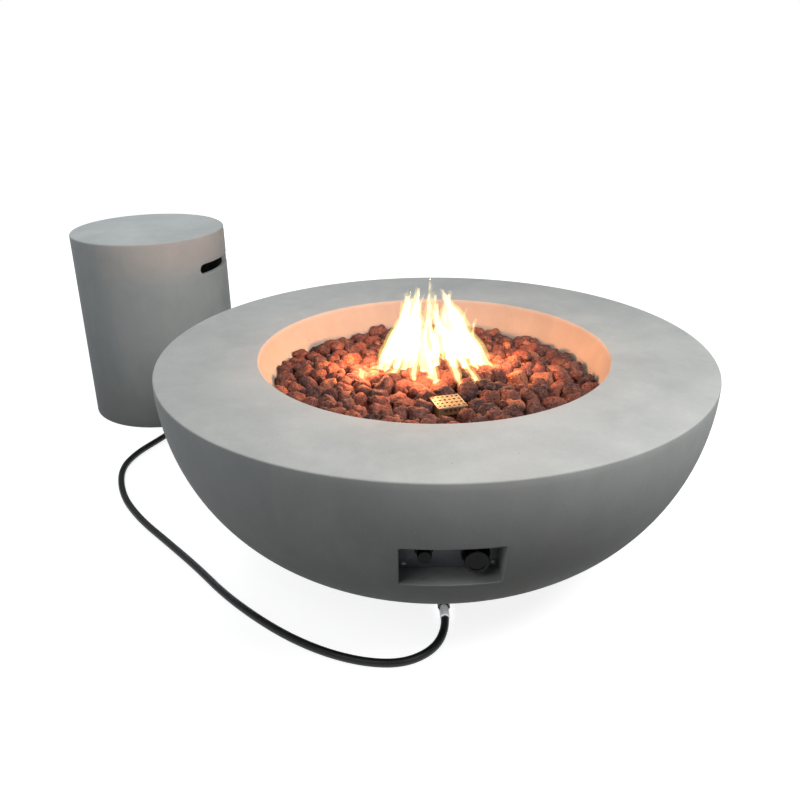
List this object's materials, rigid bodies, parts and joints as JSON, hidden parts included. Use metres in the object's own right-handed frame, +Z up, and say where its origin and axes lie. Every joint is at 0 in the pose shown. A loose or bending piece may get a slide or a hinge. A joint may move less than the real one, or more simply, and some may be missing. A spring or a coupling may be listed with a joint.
{
  "type": "gas fire bowl with tank cover",
  "caption": "Round concrete gas fire bowl with lava rocks, ring burner, front knob and igniter, joined by a hose to a gas cylinder under a cylindrical concrete cover.",
  "frame": {"origin": "on the ground, on the bowl's axis, in the plane of its foot ring", "axes": "+Z up; -Y points out of the control niche; the tank cover stands towards -X and +Y"},
  "size_m": [1.4735, 1.4945, 0.508],
  "materials": {
    "concrete": "cast glass-fibre concrete, matt",
    "lava_rock": "porous volcanic rock",
    "stainless": "brushed",
    "heat_tinted_steel": "heat-tinted perforated sheet",
    "zinc_steel": "zinc plated",
    "panel_grey": "grey powder coat",
    "brass": "machined",
    "cast_aluminium": "die cast",
    "black_plastic": "moulded, satin",
    "ceramic": "glazed insulator",
    "hose_rubber": "extruded, satin",
    "spring_steel": "bright wire",
    "copper_lead": "drawn copper",
    "lead_insulation": "silicone sleeve",
    "cylinder_paint": "light grey enamel",
    "battery_wrap": "plain sleeve"
  },
  "bodies": {
    "bowl": {"bowl_shell": "concrete", "base_vent_plate": "zinc_steel", "base_plate_screws": "zinc_steel", "control_panel": "panel_grey", "panel_screws": "zinc_steel", "burner_pan": "stainless", "burner_ring": "stainless", "burner_locknut": "brass", "air_mixer": "brass", "orifice_elbow": "brass", "igniter_guard": "heat_tinted_steel", "sensor_bracket": "stainless", "electrode_ceramic": "ceramic", "electrode_wire": "spring_steel", "thermocouple": "copper_lead", "lava_rocks": "lava_rock", "gas_valve_body": "cast_aluminium", "valve_panel_nut": "zinc_steel", "stem_spring": "spring_steel", "igniter_body": "black_plastic", "igniter_nut": "black_plastic", "igniter_spring": "spring_steel", "igniter_battery": "battery_wrap", "gas_inlet_pipe": "zinc_steel", "burner_supply_tube": "stainless", "flare_nuts": "brass", "igniter_lead": "lead_insulation", "thermocouple_lead": "copper_lead", "cylinder_shell": "cylinder_paint", "cylinder_foot_ring": "cylinder_paint", "cylinder_collar": "cylinder_paint", "cylinder_valve": "brass", "regulator_body": "cast_aluminium", "regulator_cap": "black_plastic", "gas_hose": "hose_rubber", "bowl_end_ferrule": "zinc_steel", "regulator_end_ferrule": "zinc_steel", "hose_swivel_nut": "zinc_steel"},
    "spring_seat": {"stem_washer": "zinc_steel"},
    "knob": {"control_knob": "black_plastic", "valve_stem": "brass"},
    "button": {"igniter_button": "black_plastic"},
    "cover": {"tank_cover": "concrete"},
    "handwheel": {"valve_handwheel": "black_plastic", "valve_spindle": "zinc_steel"},
    "coupling": {"coupling_nut": "black_plastic"}
  },
  "joints": [
    {"name": "knob_push", "type": "slide", "parent": "bowl", "child": "spring_seat", "axis": [0, 1, 0], "range_m": [0, 0.005], "stiffness_N_per_m": 900, "springref_m": -0.003, "deforming": ["stem_spring"]},
    {"name": "knob_turn", "type": "hinge", "parent": "spring_seat", "child": "knob", "pos_m": [0.041, -0.45, 0.244], "axis": [0, -1, 0], "range_deg": [0, 180]},
    {"name": "igniter_press", "type": "slide", "parent": "bowl", "child": "button", "axis": [0, 1, 0], "range_m": [0, 0.004], "stiffness_N_per_m": 700, "springref_m": -0.003, "deforming": ["igniter_spring"]},
    {"name": "tank_cover_lift", "type": "slide", "parent": "bowl", "child": "cover", "axis": [0, 0, 1], "range_m": [0, 0.52]},
    {"name": "cylinder_valve_turn", "type": "hinge", "parent": "bowl", "child": "handwheel", "pos_m": [-0.737, 0.758, 0.41], "axis": [0, 0, 1], "range_deg": [0, 540]},
    {"name": "regulator_nut_turn", "type": "hinge", "parent": "bowl", "child": "coupling", "pos_m": [-0.77564, 0.76835, 0.385], "axis": [-0.9659, 0.2588, 0], "range_deg": [-540, 0]}
  ]
}
